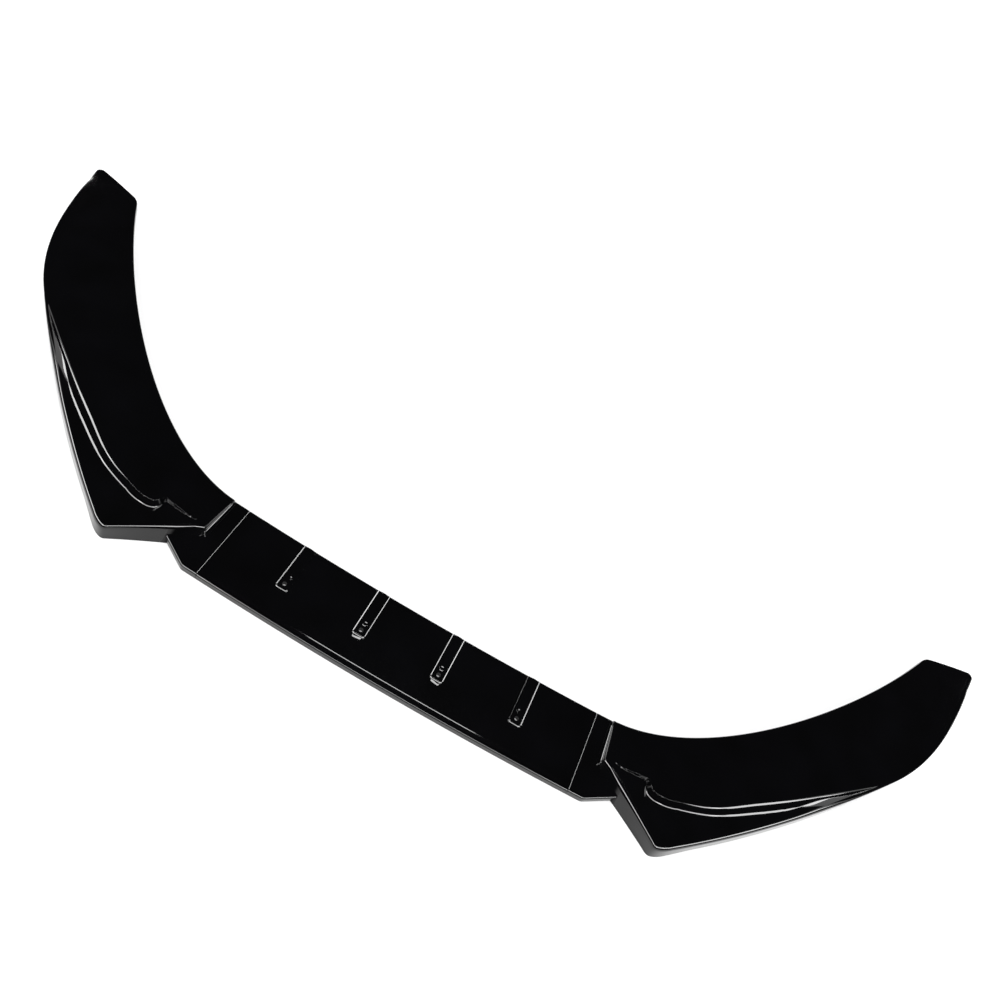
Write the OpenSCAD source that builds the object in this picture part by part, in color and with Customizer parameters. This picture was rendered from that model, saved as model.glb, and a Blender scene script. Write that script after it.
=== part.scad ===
// Front splitter lip in three mouldings: a centre blade and two swept side pieces with winglets.
// X runs across the car, the front of the lip faces -Y, and Z is up from the lowest edges.

/* [Overall] */
// Width across the two tips
overall_width = 1744; // [1640:2:1800]
// Depth from the front of the winglets to the back of the tips
overall_depth = 556; // [520:2:600]
// Wall thickness of all three mouldings
skin = 3; // [2.5:0.1:3.4]
// Which sub-part to draw

/* [Centre blade] */
// Distance between the two seams
centre_width = 584; // [540:2:620]
// Depth of the blade from front edge to rear edge
blade_depth = 128; // [122:1:134]
// Height of the blade's front edge
blade_height = 12; // [11:0.5:13]
// How far the middle of the blade sits behind the winglet fronts
blade_setback = 11; // [6:1:20]
// Plan radius of the blade's long curved edges
bow_radius = 6500; // [5500:100:9000]
// Rounding of the top front edge
edge_round = 3; // [2:0.25:3.5]

/* [Screw pads] */
// Distance between neighbouring pads
pad_pitch = 125; // [100:1:135]
// Width of a pad
pad_width = 21; // [18:0.5:26]
// Length of a pad from the rear edge
pad_length = 80; // [70:1:90]
// Height of a pad above the blade
pad_rise = 1.2; // [0.8:0.1:2]
// Width of the raised tongue on a pad
tongue_width = 11; // [8:0.5:14]
// Length of the tongue from the rear edge
tongue_length = 60; // [45:1:62]
// Height of the tongue above the pad
tongue_rise = 0.9; // [0.5:0.1:1.5]
// Diameter of the screw hole in each pad
pad_hole_d = 6.5; // [5:0.1:7.5]
// Distance of the screw hole from the pad's front end
hole_inset = 10.5; // [9:0.5:13]

/* [Joint] */
// Width of the flat end of each side piece, from the seam to the raised step
lap_width = 25; // [23:0.5:30]
// Thickness of the joining tab under the lap
tab_thick = 4; // [3.8:0.1:4.4]
// Distance between the two joint screws of a seam
joint_pitch = 62; // [50:1:70]
// Outer diameter of a joint screw's thread
joint_screw_d = 3.5; // [3:0.1:4]
// Diameter of a joint screw's head
joint_head_d = 8; // [7:0.2:8.6]

/* [Side piece] */
// Sideways position of the winglet's front corner
corner_x = 430; // [415:1:450]
// Height of the winglet's front corner
corner_height = 26; // [22:0.5:32]
// Height of the raised surface where it starts beside the lap
root_height = 22; // [19:0.5:25]
// Height of the top at the inner corner of the tip
tip_height = 74; // [60:1:90]
// Drop from the inner to the outer corner of the tip
tip_drop = 14; // [8:1:20]
// Underside height at the tip
tip_clearance = 40; // [20:1:48]
// Rise of the raised surface above the front of the winglet
riser_height = 10; // [6:0.5:14]
// Width of the winglet's flat top at its front corner
shelf_width = 80; // [60:1:90]
// Width of the tip
tip_width = 104; // [90:1:120]

/* [Hidden] */
$fn = 48;
seam_x = centre_width / 2;
tip_x = overall_width / 2;
step_x = seam_x + lap_width;
skin_floor = blade_height - skin;
turn = asin(seam_x / bow_radius);
chamfer_turn = 31;
lap_corner_round = 14;
rib_thick = 2;
rib_gap = 3;
head_sink = 0.2;
head_h = 2;
boss_d = joint_screw_d + 5.6;
thread_gap = 0.1;
joint_shank = 8;
screw_x = seam_x + lap_width / 2;
hole_y = pad_length - hole_inset;

function bow(x) = bow_radius - sqrt(bow_radius * bow_radius - x * x);
function front_y(x) = blade_setback + bow(x);
function rear_y(x) = front_y(x) + blade_depth;
function clamp01(t) = min(1, max(0, t));
function ease(t) = let (u = clamp01(t)) u * u * (3 - 2 * u);
function mix(a, b, t) = a + (b - a) * t;
function curve(p, t) = pow(1 - t, 3) * p[0] + 3 * t * pow(1 - t, 2) * p[1]
    + 3 * t * t * (1 - t) * p[2] + pow(t, 3) * p[3];

// Plan curve of the inner edge, from the step to the tip.
inner_start = [step_x + 1.5, rear_y(step_x)];
inner_end = [tip_x - tip_width, overall_depth - 37];
inner_span = inner_end - inner_start;
inner_curve = [
    inner_start,
    inner_start + [0.345 * inner_span[0], 0.006 * inner_span[1]],
    inner_start + [0.806 * inner_span[0], 0.607 * inner_span[1]],
    inner_end
];

// Plan curve of the outer edge: winglet flank first, then the sweep round to the tip.
flank_span = [tip_x - corner_x, overall_depth];
corner = [corner_x, 0];
tip_round = 8;
flank_curve = [for (f = [[0, 0], [0.219, 0.118], [0.491, 0.303], [0.736, 0.513]])
    corner + [f[0] * flank_span[0], f[1] * flank_span[1]]];
sweep_curve = [for (f = [[0.736, 0.513], [0.868, 0.627], [0.939, 0.773], [1, 1]])
    corner + [f[0] * flank_span[0], f[1] * (flank_span[1] - (f[0] == 1 ? tip_round : 0))]];

// Plan line of the winglet's inner edge, from the top of the step to the front corner.
step_top = [step_x + 6, rear_y(step_x) - 65];
edge_start = [step_x + 17, rear_y(step_x) - 71];
ridge_y = rear_y(step_x) - 64;
corner_share = 0.19;
hook_at = 0.69;

// A station is [inner point, outer point, place along the winglet edge, place along the arm].
function inner_at(t) = curve(inner_curve, t);
function edge_at(p) = p < 0.08 ? mix(step_top, edge_start, p / 0.08)
    : mix(edge_start, corner, (p - 0.08) / 0.92);
function outer_at(q) = q < 0.55 ? curve(flank_curve, q / 0.55) : curve(sweep_curve, (q - 0.55) / 0.45);
function share_at(q) = mix(corner_share, 1, mix(q, pow(q, 0.9), 0.5));

edge_places = [0, 0.04, 0.08, 0.2, 0.35, 0.5, 0.62, 0.67, 0.69, 0.71, 0.74, 0.8, 0.87, 0.92];
corner_places = [0, 0.25, 0.5, 0.75, 1];
arm_steps = 26;
corner_trim = 9;
corner_a = mix(edge_start, corner, 1 - corner_trim / norm(corner - edge_start));
corner_b = outer_at(0.022);
function corner_at(k) = mix(mix(corner_a, corner, k), mix(corner, corner_b, k), k);

edge_stations = [for (p = edge_places) [inner_at(p * corner_share * 0.97), edge_at(p), p, 0]];
corner_stations = [for (k = corner_places)
    [inner_at(mix(0.93 * corner_share, share_at(0.022), k)), corner_at(k), mix(0.93, 1, k), 0.022 * k]];
arm_stations = [for (i = [1:arm_steps])
    let (q = mix(0.022, 1, pow(i / arm_steps, 1.12)), o = outer_at(q))
    [inner_at(min(0.985, share_at(q))), o, 1, q]];
tip_corner = [tip_x - tip_round, overall_depth];
tip_line = (tip_corner - inner_end) / norm(tip_corner - inner_end);
tip_stations = [
    [inner_end + 1.5 * tip_line, [tip_x - 0.3 * tip_round, overall_depth - 0.35 * tip_round], 1, 1.1],
    [inner_end + 7 * tip_line, tip_corner, 1, 1.3]
];
stations = concat(edge_stations, corner_stations, arm_stations, tip_stations);

// Heights and widths along the side piece.
function arm_share(s) = s[1][1] / overall_depth;
function inner_top(s) = mix(root_height - 5, tip_height, pow(clamp01((s[0][0] - inner_start[0]) / inner_span[0]), 1.08));
function outer_top(s) = s[2] < 1 ? mix(root_height, corner_height, s[2])
    : mix(corner_height, tip_height - tip_drop, 1 - pow(clamp01(1 - arm_share(s)), 1.5));
function shelf(s) = s[2] < 1 ? edge_shelf(s)
    : arm_share(s) < 0.56
        ? max(5, 0.55 * shelf_width * (1 - arm_share(s) / 0.6) + 0.45 * shelf_width * exp(-arm_share(s) * 18))
        : mix(5, 16, ease((arm_share(s) - 0.56) / 0.4));
function edge_shelf(s) = let (d = s[1] - s[0], line = mix(ridge_y, shelf_width, ease((s[2] - 0.7) / 0.3)))
    max(5, norm(d) * clamp01((line - s[1][1]) / (s[0][1] - s[1][1])));
function hook(s) = ease((s[2] - hook_at + 0.02) / 0.05);
function riser_run(s) = s[2] < 1 ? mix(min(2, 0.4 * shelf(s)), 12, hook(s))
    : min(mix(12, 8.5, ease(arm_share(s) / 0.06)), 0.45 * shelf(s));
function riser_rise(s) = s[2] < 1 ? mix(0.8, 0.35 * riser_height, s[2] / hook_at) + (s[2] > hook_at ? 0.35 * riser_height * (s[2] - hook_at) / (1 - hook_at) : 0)
    : riser_height * (arm_share(s) < 0.1 ? mix(0.86, 1, ease(arm_share(s) / 0.1))
        : mix(1, 0.12, ease((arm_share(s) - 0.1) / 0.5)) + 0.35 * ease((arm_share(s) - 0.6) / 0.4));
function wall_lean(s) = s[2] < 1 ? 3 + 23 * pow(1 - s[2], 1.2) : 3 * (1 - ease(arm_share(s) / 0.08)) + 0.5 * (1 - arm_share(s));
function wall_foot(s) = s[2] < 1 ? 0 : tip_clearance * ease((arm_share(s) - 0.56) / 0.44);
// The inner flange shortens a little round the corner of the tip.
function flange(s) = mix(root_height - 5, 14, ease((s[0][0] - inner_start[0]) / (0.35 * inner_span[0])))
    - 4 * max(0, s[3] - 1);

// Corner rounding in a section: points on a smooth bend at b between a and c.
function bend(a, b, c, r, n) =
    let (u = (a - b) / norm(a - b), v = (c - b) / norm(c - b),
         ra = min(r, 0.45 * norm(a - b)), rc = min(r, 0.45 * norm(c - b)))
    [for (i = [0:n]) let (k = i / n) mix(mix(b + u * ra, b, k), mix(b, b + v * rc, k), k)];

// Shape of one section: inner and outer heights, shelf, riser run and rise, lean, foot, flange and crown.
function shape_at(s) = [inner_top(s), outer_top(s), shelf(s), riser_run(s), riser_rise(s),
    wall_lean(s), wall_foot(s), flange(s), 0.012 * (norm(s[1] - s[0]) - shelf(s))];

// Section outline in [distance from the inner edge, height]. The inner skin is the outer one moved in.
function outline(len, h, inset) =
    let (zi = h[0] - inset, zo = h[1] - inset, w = h[2], run = h[3], crown = h[8],
         zb = zo + 0.02 * (w - run), zc = zb + h[4],
         base = [inset, h[0] - h[7]], i = [inset, zi],
         c = [len - w - inset, zc], b = [len - w + run - inset, zb],
         a = [len - inset, zo], foot = [len + h[5] - inset, h[6]])
    concat(
        [base],
        bend(base, i, c, inset > 0 ? 1 : 3.2, 3),
        [for (k = [0.2, 0.4, 0.6, 0.8]) [mix(i[0], c[0], k), mix(zi, zc, k) + 4 * crown * k * (1 - k)]],
        bend(i, c, b, 3.5, 2),
        bend(c, b, a, 4, 2),
        bend(b, a, foot, inset > 0 ? 2.5 : 5.5, 4),
        [foot]
    );
function section(s, inset) = outline(norm(s[1] - s[0]), shape_at(s), inset);
function place(s, p) = let (d = (s[1] - s[0]) / norm(s[1] - s[0]))
    [s[0][0] + d[0] * p[0], s[0][1] + d[1] * p[0], p[1]];
function reversed(v) = [for (i = [len(v) - 1:-1:0]) v[i]];
function ring(s) = [for (p = concat(section(s, 0), reversed(section(s, skin)))) place(s, p)];

// The first ring lies inside the lap's skin, so the step grows out of the flat lap.
step_foot = [[step_x, rear_y(step_x) - 0.4], [step_x + 0.5, rear_y(step_x) - 77]];
foot_shape = [blade_height - 0.4, blade_height - 0.4, 12, 5, 0.1, 1, 0, blade_height - 0.4, 0];
function foot_section(inset) = outline(norm(step_foot[1] - step_foot[0]), foot_shape, inset);
foot_ring = [for (p = concat(foot_section(0), reversed(foot_section(skin)))) place(step_foot, p)];

rings = concat([foot_ring], [for (s = stations) ring(s)]);
ring_size = len(rings[0]);
front_reach = min([for (r = rings) for (p = r) p[1]]);

// Two triangles that close the wall thickness at an end ring, between its outer and inner outlines.
function cap_pair(j, first) = let (m = first + ring_size - 1)
    [[first + j, first + j + 1, m - j - 1], [first + j, m - j - 1, m - j]];

module wing_shell() {
    points = [for (r = rings) for (p = r) p];
    last = len(rings) - 1;
    polyhedron(
        points,
        concat(
            [for (j = [0:ring_size / 2 - 2]) for (f = cap_pair(j, 0)) f],
            [for (i = [0:last - 1]) for (j = [0:ring_size - 1])
                let (k = (j + 1) % ring_size, a = i * ring_size, b = a + ring_size)
                [a + j, b + j, a + k]],
            [for (i = [0:last - 1]) for (j = [0:ring_size - 1])
                let (k = (j + 1) % ring_size, a = i * ring_size, b = a + ring_size)
                [b + j, b + k, a + k]],
            [for (j = [0:ring_size / 2 - 2]) for (f = cap_pair(j, last * ring_size)) reversed(f)]
        ),
        convexity = 10
    );
}

// Upright rib or end wall below the skin at one station, from the inner flange to the outer wall.
module section_rib(s, thick) {
    d = (s[1] - s[0]) / norm(s[1] - s[0]);
    half = section(s, skin / 2);
    last = len(half) - 1;
    translate([s[0][0], s[0][1], 0])
        rotate([90, 0, atan2(d[1], d[0])])
            translate([0, 0, -thick / 2])
                linear_extrude(thick)
                    polygon([for (i = [0:last]) half[i] + [0, i == 0 || i == last ? rib_gap : 0]]);
}

// Section of a turned-down front edge: skin, rounded shoulder and lip. The edge lies at x = 0.
module lip_section(depth) {
    translate([-depth, skin_floor])
        square([depth - edge_round, skin]);
    translate([-skin, 0])
        square([skin, blade_height - edge_round]);
    intersection() {
        translate([-edge_round, blade_height - edge_round])
            circle(r = edge_round);
        translate([-edge_round, skin_floor - edge_round])
            square([edge_round, skin + edge_round]);
    }
}

// Front edge of the lap in plan: straight from the seam, one bend, then straight under the winglet.
// Each entry is a point and the direction inwards from it.
lap_a = [seam_x, front_y(seam_x)];
lap_v = lap_a + (step_x - 1 - seam_x) * [1, tan(turn)];
lap_reach = 50;
lap_bend = chamfer_turn - turn;
lap_t1 = lap_v - lap_corner_round * tan(lap_bend / 2) * [cos(turn), sin(turn)];
lap_centre = lap_t1 + lap_corner_round * [-sin(turn), cos(turn)];
lap_end = lap_v + lap_reach * [cos(chamfer_turn), sin(chamfer_turn)];
lap_headings = [for (k = [0, 0.25, 0.5, 0.75, 1]) turn + k * lap_bend];
lap_path = concat(
    [[lap_a, [0, 1 / cos(turn)]]],
    [for (h = lap_headings) [lap_centre + lap_corner_round * [sin(h), -cos(h)], [-sin(h), cos(h)]]],
    [[lap_end, [-sin(chamfer_turn), cos(chamfer_turn)]]]
);

// Lip section as [distance inwards, height], from its inner bend round to that bend again.
lip_strip = edge_round + 3;
lip_outline = concat(
    [[skin, skin_floor], [skin, 0], [0, 0]],
    [for (a = [0, 22.5, 45, 67.5, 90]) [edge_round * (1 - cos(a)), blade_height - edge_round * (1 - sin(a))]],
    [[lip_strip, blade_height], [lip_strip, skin_floor]]
);

module lap_lip() {
    n = len(lip_outline);
    last = len(lap_path) - 1;
    points = [for (e = lap_path) for (p = lip_outline) [e[0][0] + e[1][0] * p[0], e[0][1] + e[1][1] * p[0], p[1]]];
    polyhedron(
        points,
        concat(
            [concat([0], [for (j = [n - 1:-1:1]) j])],
            [for (i = [0:last - 1]) for (j = [0:n - 1])
                let (k = (j + 1) % n) [i * n + j, i * n + k, (i + 1) * n + k]],
            [for (i = [0:last - 1]) for (j = [0:n - 1])
                let (k = (j + 1) % n) [i * n + j, (i + 1) * n + k, (i + 1) * n + j]],
            [[for (j = [0:n - 1]) last * n + j]]
        ),
        convexity = 4
    );
}

// Flat end of a side piece: it carries the blade on from the seam and under the winglet wall.
module lap_plate() {
    inset = edge_round + 1;
    lap_lip();
    translate([0, 0, skin_floor])
        linear_extrude(skin)
            polygon([
                lap_a + [0, inset], lap_v + [-1, inset], lap_end + [-2, inset], [lap_end[0] - 5, lap_end[1] + 8],
                [step_x + 14, rear_y(step_x) - 70], [step_x + 8, rear_y(step_x) - 8],
                [step_x + 6, rear_y(step_x) - 1], [seam_x, rear_y(seam_x) - 1]
            ]);
    linear_extrude(blade_height)
        polygon([
            [seam_x, rear_y(seam_x) - skin], [step_x + 4, rear_y(step_x) - skin],
            [step_x + 4, rear_y(step_x)], [seam_x, rear_y(seam_x)]
        ]);
}

// Blind boss under the lap for one joint screw.
module joint_boss() {
    translate([0, 0, tab_thick])
        cylinder(d = boss_d, h = blade_height - tab_thick - skin / 2);
}

module at_joint_screws() {
    for (y = [-0.5, 0.5])
        translate([screw_x, front_y(seam_x) + blade_depth / 2 + y * joint_pitch, 0])
            children();
}

module side_piece() {
    difference() {
        union() {
            wing_shell();
            lap_plate();
            for (i = [25, 31, 37])
                section_rib(stations[i], rib_thick);
            section_rib(stations[len(stations) - 3], rib_thick);
            at_joint_screws()
                joint_boss();
        }
        at_joint_screws()
            translate([0, 0, tab_thick - 1])
                cylinder(d = joint_screw_d + thread_gap, h = joint_shank - tab_thick + head_h + head_sink + 1.3);
    }
}

// Outline of one screw pad, open at the rear, rounded at the front corners.
module pad_outline(width, length, round_r) {
    translate([-width / 2, -length + round_r])
        square([width, length - round_r]);
    translate([-width / 2 + round_r, -length])
        square([width - 2 * round_r, round_r + 1]);
    for (side = [-1, 1])
        translate([side * (width / 2 - round_r), -length + round_r])
            circle(r = round_r);
}

module at_pads() {
    for (i = [-1.5, -0.5, 0.5, 1.5])
        translate([i * pad_pitch, rear_y(i * pad_pitch) - 0.3, 0])
            children();
}

module blade_section() {
    lip_section(blade_depth - 1);
    translate([-blade_depth, 0])
        square([skin, blade_height]);
}

module blade_ring() {
    reach = 2 * asin((seam_x + 4) / (bow_radius - blade_depth));
    translate([0, blade_setback + bow_radius, 0])
        rotate([0, 0, -90 - reach / 2])
            rotate_extrude(angle = reach, $fn = 720)
                translate([bow_radius, 0])
                    blade_section();
}

// Joining tab at one end of the blade, reaching under the side piece's lap.
module joint_tab() {
    tab_front = front_y(seam_x) + skin + 6;
    tab_depth = blade_depth - 2 * skin - 12;
    translate([seam_x - 14, tab_front, 0])
        cube([14 + lap_width - 2, tab_depth, tab_thick]);
    translate([seam_x - skin, tab_front, 0])
        cube([skin, tab_depth, blade_height - skin / 2]);
}

module centre_blade() {
    color("black")
    difference() {
        union() {
            intersection() {
                blade_ring();
                translate([-seam_x, 0, -1])
                    cube([centre_width, 2 * blade_depth, blade_height + 2]);
            }
            at_pads() {
                translate([0, 0, blade_height - 1])
                    linear_extrude(pad_rise + 1)
                        pad_outline(pad_width, pad_length, 5);
                translate([0, 0, blade_height - 1])
                    linear_extrude(pad_rise + tongue_rise + 1)
                        pad_outline(tongue_width, tongue_length, 2);
                translate([0, -hole_y, skin_floor - 4])
                    cylinder(d = pad_hole_d + 7, h = 5);
            }
            for (side = [0, 1])
                mirror([side, 0, 0]) {
                    joint_tab();
                    for (x = [0, 1, 2])
                        translate([x * pad_pitch - rib_thick / 2, front_y(0) + skin - 1 + bow(x * pad_pitch), rib_gap])
                            cube([rib_thick, blade_depth - 2 * skin + 2, skin_floor - rib_gap + 1]);
                }
            translate([-seam_x + 1, front_y(0) + 0.4 * blade_depth, rib_gap])
                cube([centre_width - 2, rib_thick, skin_floor - rib_gap + 1]);
        }
        at_pads()
            translate([0, -hole_y, -1])
                cylinder(d = pad_hole_d, h = blade_height + 6);
        for (side = [0, 1])
            mirror([side, 0, 0])
                at_joint_screws() {
                    translate([0, 0, -1])
                        cylinder(d = joint_screw_d + 0.9, h = tab_thick + 2);
                    translate([0, 0, -1])
                        cylinder(d = joint_head_d + 0.4, h = head_sink + head_h + 1);
                }
    }
}

module right_wing() {
    color("dimgray")
        side_piece();
}

module left_wing() {
    color("dimgray")
        mirror([1, 0, 0])
            side_piece();
}

module joint_screw() {
    translate([0, 0, head_sink])
        difference() {
            cylinder(d = joint_head_d, h = head_h);
            for (a = [0, 90])
                rotate([0, 0, a])
                    translate([-0.5, -2.1, -1])
                        cube([1, 4.2, 2.1]);
        }
    translate([0, 0, head_sink + head_h - 0.1])
        cylinder(d = joint_screw_d, h = joint_shank + 0.1);
}

module joint_screws() {
    color("silver")
        for (side = [0, 1])
            mirror([side, 0, 0])
                at_joint_screws()
                    joint_screw();
}

module centred() {
    translate([0, -(front_reach + overall_depth) / 2, 0])
        children();
}

centred() centre_blade();
centred() left_wing();
centred() right_wing();
centred() joint_screws();
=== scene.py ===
"""Looks of a front splitter lip: gloss black mouldings, their steel joint screws and a plain pale studio."""

import math
from types import SimpleNamespace

import bmesh
import bpy
import numpy as np
from bpy.props import FloatProperty, FloatVectorProperty, PointerProperty, StringProperty
from mathutils import Matrix, Vector
from mathutils.geometry import delaunay_2d_cdt


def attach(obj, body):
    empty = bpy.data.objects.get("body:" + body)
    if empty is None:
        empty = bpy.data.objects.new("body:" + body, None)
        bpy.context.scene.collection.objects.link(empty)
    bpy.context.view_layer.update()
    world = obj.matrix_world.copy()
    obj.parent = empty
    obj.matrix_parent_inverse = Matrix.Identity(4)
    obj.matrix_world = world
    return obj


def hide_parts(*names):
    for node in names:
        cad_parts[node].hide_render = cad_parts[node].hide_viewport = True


bl_info = {
    "name": "Front splitter lip",
    "version": (1, 0, 0),
    "blender": (4, 5, 0),
    "location": "View3D > Sidebar > Lip",
    "description": "Builds the finished mouldings of a front splitter lip around its packed model",
    "category": "Object",
}

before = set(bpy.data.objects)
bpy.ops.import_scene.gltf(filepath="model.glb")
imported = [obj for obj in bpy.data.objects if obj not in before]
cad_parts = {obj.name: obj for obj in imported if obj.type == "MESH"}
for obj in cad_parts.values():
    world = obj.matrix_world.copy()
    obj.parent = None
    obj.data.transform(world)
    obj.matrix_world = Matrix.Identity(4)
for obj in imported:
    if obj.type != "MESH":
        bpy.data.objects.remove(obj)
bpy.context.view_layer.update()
MM = 0.001


# Sizes, in metres, and colours a user may change


def metres(name, description, default):
    return FloatProperty(name=name, description=description, default=default, unit="LENGTH")


def colour(name, description, default):
    return StringProperty(name=name, description=description, default=default)


class LIP_PG_blade(bpy.types.PropertyGroup):
    """Sizes of the centre blade."""

    centre_width: metres("Centre width", "Distance between the two seams", 0.584)
    depth: metres("Blade depth", "Front edge to rear edge", 0.128)
    height: metres("Blade height", "Height of the top above the lowest edges", 0.012)
    setback: metres("Setback", "How far the middle sits behind the winglet fronts", 0.011)
    bow_radius: metres("Bow radius", "Plan radius of the long edges", 6.5)
    edge_round: metres("Edge rounding", "Rounding of the top front edge", 0.003)
    skin: metres("Wall", "Wall thickness", 0.003)
    seam_gap: metres("Seam gap", "Gap that shows on each side of a seam", 0.0003)
    seam_chamfer: metres("Seam edge", "Small chamfer along a seam", 0.0003)


class LIP_PG_pads(bpy.types.PropertyGroup):
    """Sizes of the screw pads."""

    pitch: metres("Pitch", "Distance between neighbouring pads", 0.125)
    width: metres("Width", "Width of a pad", 0.021)
    length: metres("Length", "Length of a pad from the rear edge", 0.080)
    rise: metres("Rise", "Height of a pad above the blade", 0.0012)
    tongue_width: metres("Tongue width", "Width of the raised tongue", 0.011)
    tongue_length: metres("Tongue length", "Length of the tongue from the rear edge", 0.060)
    tongue_rise: metres("Tongue rise", "Height of the tongue above the pad", 0.0009)
    hole: metres("Hole", "Diameter of the screw hole", 0.0065)
    hole_inset: metres("Hole inset", "Hole centre to the pad's front end", 0.0105)
    soft_edge: metres("Soft edge", "Width over which a pad's edge rises", 0.0024)


class LIP_PG_side(bpy.types.PropertyGroup):
    """Sizes of a side piece."""

    overall_width: metres("Overall width", "Width across the two tips", 1.744)
    overall_depth: metres("Overall depth", "Winglet fronts to the back of the tips", 0.556)
    lap_width: metres("Lap width", "Seam to the raised step", 0.025)
    corner_x: metres("Corner", "Sideways position of the winglet's front corner", 0.430)
    corner_height: metres("Corner height", "Height of the front corner", 0.026)
    root_height: metres("Root height", "Height of the raised surface beside the lap", 0.022)
    tip_height: metres("Tip height", "Height at the inner corner of the tip", 0.074)
    tip_drop: metres("Tip drop", "Drop from the inner to the outer corner of the tip", 0.014)
    tip_clearance: metres("Tip clearance", "Underside height at the tip", 0.040)
    riser_height: metres("Riser", "Rise of the raised surface above the winglet's front", 0.010)
    tip_width: metres("Tip width", "Width of the tip", 0.104)


class LIP_PG_finish(bpy.types.PropertyGroup):
    """Colours of the finishes, as sRGB hex values, and the gloss of the mouldings."""

    black_abs: colour("Black ABS", "Colour of the black moulding resin", "#020202")
    black_wave: colour("Black waves", "Colour of the resin in its long soft waves", "#040405")
    grained_abs: colour("Underside", "Colour of the unpolished underside", "#0b0b0c")
    grained_flow: colour("Flow marks", "Colour of the flow marks of the underside", "#121214")
    gloss: FloatProperty(
        name="Gloss roughness", description="Roughness of the polished faces",
        default=0.045, subtype="FACTOR",
    )
    zinc: colour("Zinc plate", "Colour of the plated screws", "#b9bcc0")
    zinc_warm: colour("Zinc tint", "Faint yellow tint of the plating", "#c9c3ad")


class LIP_PG_studio(bpy.types.PropertyGroup):
    """The photograph's camera and the studio."""

    camera: FloatVectorProperty(
        name="Camera", description="Place of the camera",
        default=(0.01464, -0.75919, 1.06515), unit="LENGTH",
    )
    pitch: FloatProperty(
        name="Pitch", description="Angle of view below the horizon",
        default=math.radians(50.0138), subtype="ANGLE",
    )
    yaw: FloatProperty(
        name="Yaw", description="Turn of the view to the right",
        default=math.radians(0.0229), subtype="ANGLE",
    )
    roll: FloatProperty(
        name="Roll", description="Clockwise turn of the picture",
        default=math.radians(30.1999), subtype="ANGLE",
    )
    lens: FloatProperty(
        name="Lens", description="Focal length on a 36 mm sensor", default=29.897, unit="CAMERA"
    )
    floor_size: metres("Floor", "Side of the square floor", 40.0)
    floor_colour: colour("Floor colour", "Colour of the matt white floor", "#929292")
    floor_white: FloatProperty(
        name="Floor white", description="Part of the floor's white that does not depend on the lamps",
        default=0.74, subtype="FACTOR",
    )
    # Reach of the painted contact shade: ambient occlusion darkens the floor's white glow this close to the
    # lip
    painted_contact_shade: metres("Contact shadow", "Reach of the shadow where the lip meets the floor", 0.0125)
    white: colour("White", "White of the paper and of the horizon", "#ffffff")
    room: colour("Room", "Colour of the dim studio room", "#161617")


# The riser along its foot, in mm: distance from its start, width, softness of its foot and of its crest
RISER_SHAPE = (
    (0, 0.8, 0.3, 0.1),
    (82, 1.2, 0.4, 0.05),
    (100, 7.4, 1.6, 0.05),
    (152, 8.6, 1.8, 0.05),
    (187, 10.0, 2.4, 2.0),
    (274, 12.0, 3.0, 3.0),
    (315, 10.8, 2.8, 2.8),
    (360, 9.2, 2.5, 2.5),
    (408, 7.0, 2.2, 2.2),
    (463, 4.4, 1.6, 1.6),
    (503, 2.6, 1.1, 1.1),
)

# Places of the screw pads, in pitches from the middle
PAD_PLACES = (-1.5, -0.5, 0.5, 1.5)

# Places of the ribs below an arm, as shares of its sections
RIB_SHARES = (0.16, 0.38, 0.62, 0.9)

# Share of the winglet's front line that turns off the step, and share of the outer line before its sweep
STEP_SHARE = 0.08
FLANK_SHARE = 0.55

# Round each screw hole the grid of faces stays open this far to either side, in mm
HOLE_REACH = 5.3

# The floor lies this far below the lowest edges, in metres, so that the two share no plane
FLOOR_DROP = 0.0004

# Index of refraction of ABS
ABS_IOR = 1.5

# Least and most of the gloss roughness, as shares of its value, where wipe marks cross the faces
GLOSS_SPREAD = (0.8, 1.35)

# The pale strip at the horizon fades out between these heights, each the sine of an angle above it
HORIZON = (0.02, 0.10)

# Soft boxes: name, bearing from the back, height, half of each side as angles, all in degrees, and radiance
MIDDLE_LAMPS = (
    ("top_softbox", 0.0, 72.5, (7.4, 2.6), 14.0),
    ("front_softbox", 180.0, 46.0, (24.0, 8.0), 12.0),
)
SIDE_LAMPS = (
    ("front_softbox", 135.0, 44.0, (16.0, 8.0), 14.0),
    ("softbox", 103.5, 38.0, (10.0, 9.0), 15.0),
    ("faint_softbox", 86.5, 38.0, (7.0, 9.0), 1.8),
    ("strip", 61.5, 17.5, (5.0, 7.5), 18.0),
)
LAMP_DISTANCE = 9.0


# Small helpers


def mix(a, b, t):
    return a + (b - a) * t


def clamp01(t):
    return min(1.0, max(0.0, t))


def ease(t):
    u = clamp01(t)
    return u * u * (3 - 2 * u)


def bezier(points, t):
    a, b, c, d = points
    return (1 - t) ** 3 * a + 3 * t * (1 - t) ** 2 * b + 3 * t * t * (1 - t) * c + t**3 * d


def quarter(steps):
    """Angles of a quarter turn."""
    return np.linspace(0, math.pi / 2, steps)


def linear_colour(hex_value, alpha=1.0):
    """An sRGB hex value as the linear colour that a shader takes."""
    channels = [int(hex_value.lstrip("#")[i : i + 2], 16) / 255 for i in (0, 2, 4)]
    return [c / 12.92 if c <= 0.04045 else ((c + 0.055) / 1.055) ** 2.4 for c in channels] + [alpha]


def node(tree, kind, settings=None, inputs=None):
    """Adds one shader node, with its settings and its input values or links."""
    made = tree.nodes.new(kind)
    for name, value in (settings or {}).items():
        setattr(made, name, value)
    for name, value in (inputs or {}).items():
        if isinstance(value, bpy.types.NodeSocket):
            tree.links.new(value, made.inputs[name])
        else:
            made.inputs[name].default_value = value
    return made


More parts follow.
